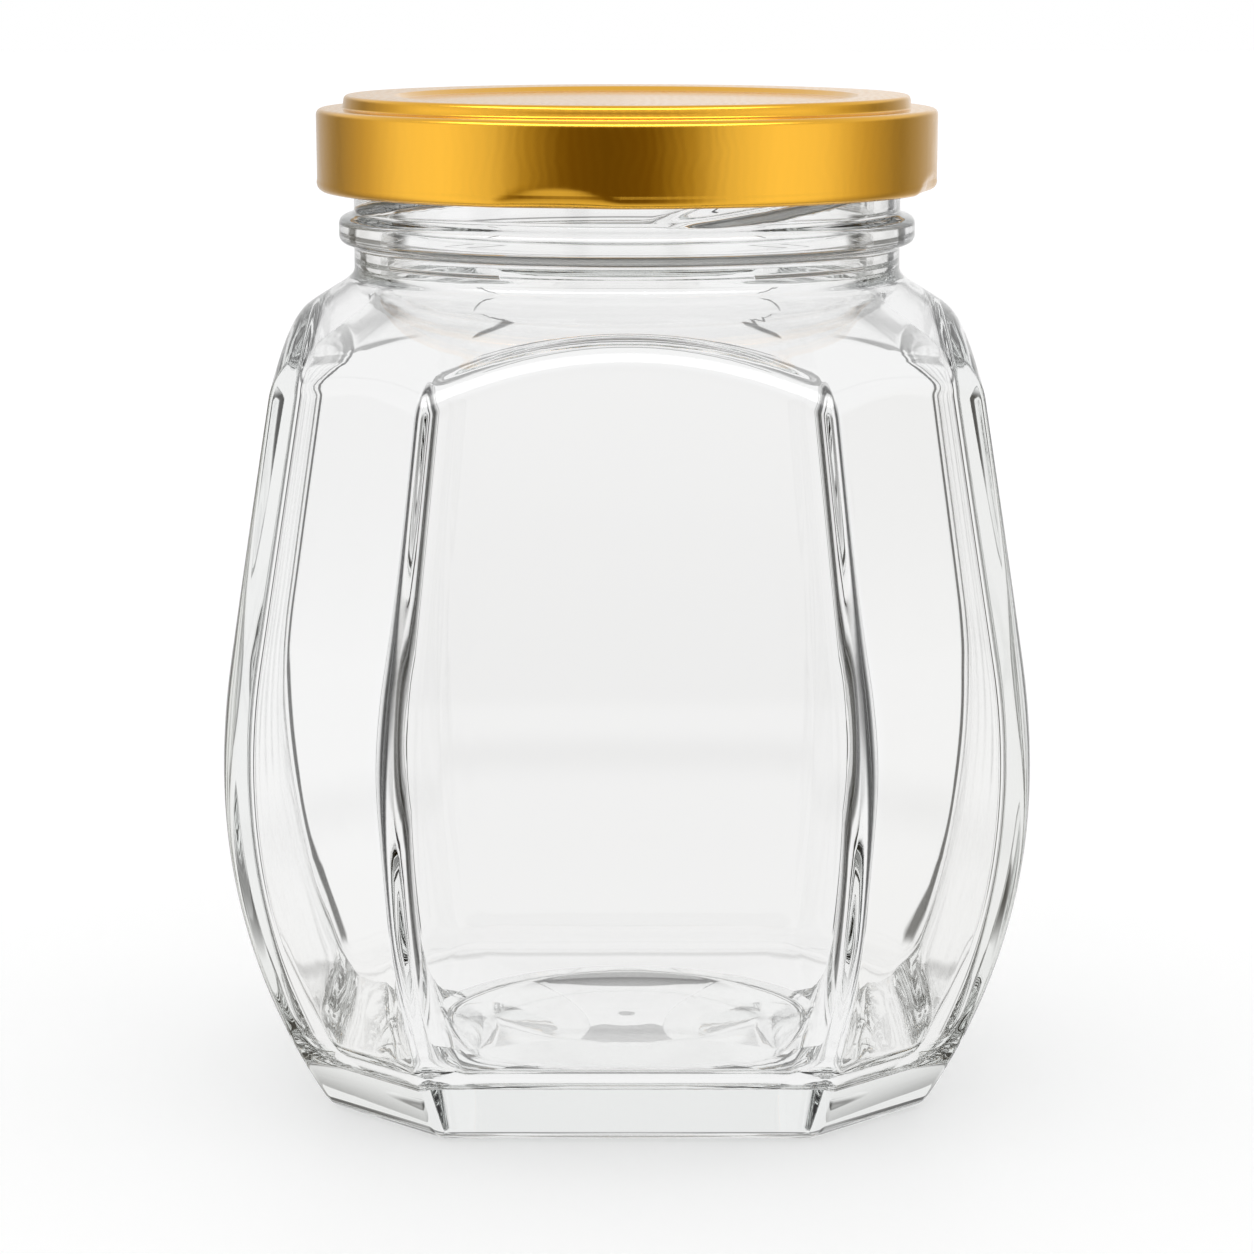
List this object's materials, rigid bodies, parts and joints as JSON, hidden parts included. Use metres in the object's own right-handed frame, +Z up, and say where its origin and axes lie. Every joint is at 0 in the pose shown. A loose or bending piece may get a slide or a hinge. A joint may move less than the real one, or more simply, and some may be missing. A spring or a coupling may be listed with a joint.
{
  "type": "octagonal glass jar",
  "caption": "Clear glass jar with an octagonal, bellied body, round shoulder and threaded neck, closed by a gold pressed-metal lug lid.",
  "frame": {"origin": "middle of the foot, on the surface the jar stands on", "axes": "+Z up the jar's axis through the lid, -Y out of the front wide face, +X out of the right-hand wide face"},
  "size_m": [0.0836, 0.0836, 0.106],
  "materials": {
    "clear_glass": "clear, fire polished",
    "gold_tinplate": "satin gold lacquer on tinplate"
  },
  "bodies": {
    "root": {"glass_jar": "clear_glass", "lid": "gold_tinplate"}
  },
  "joints": []
}
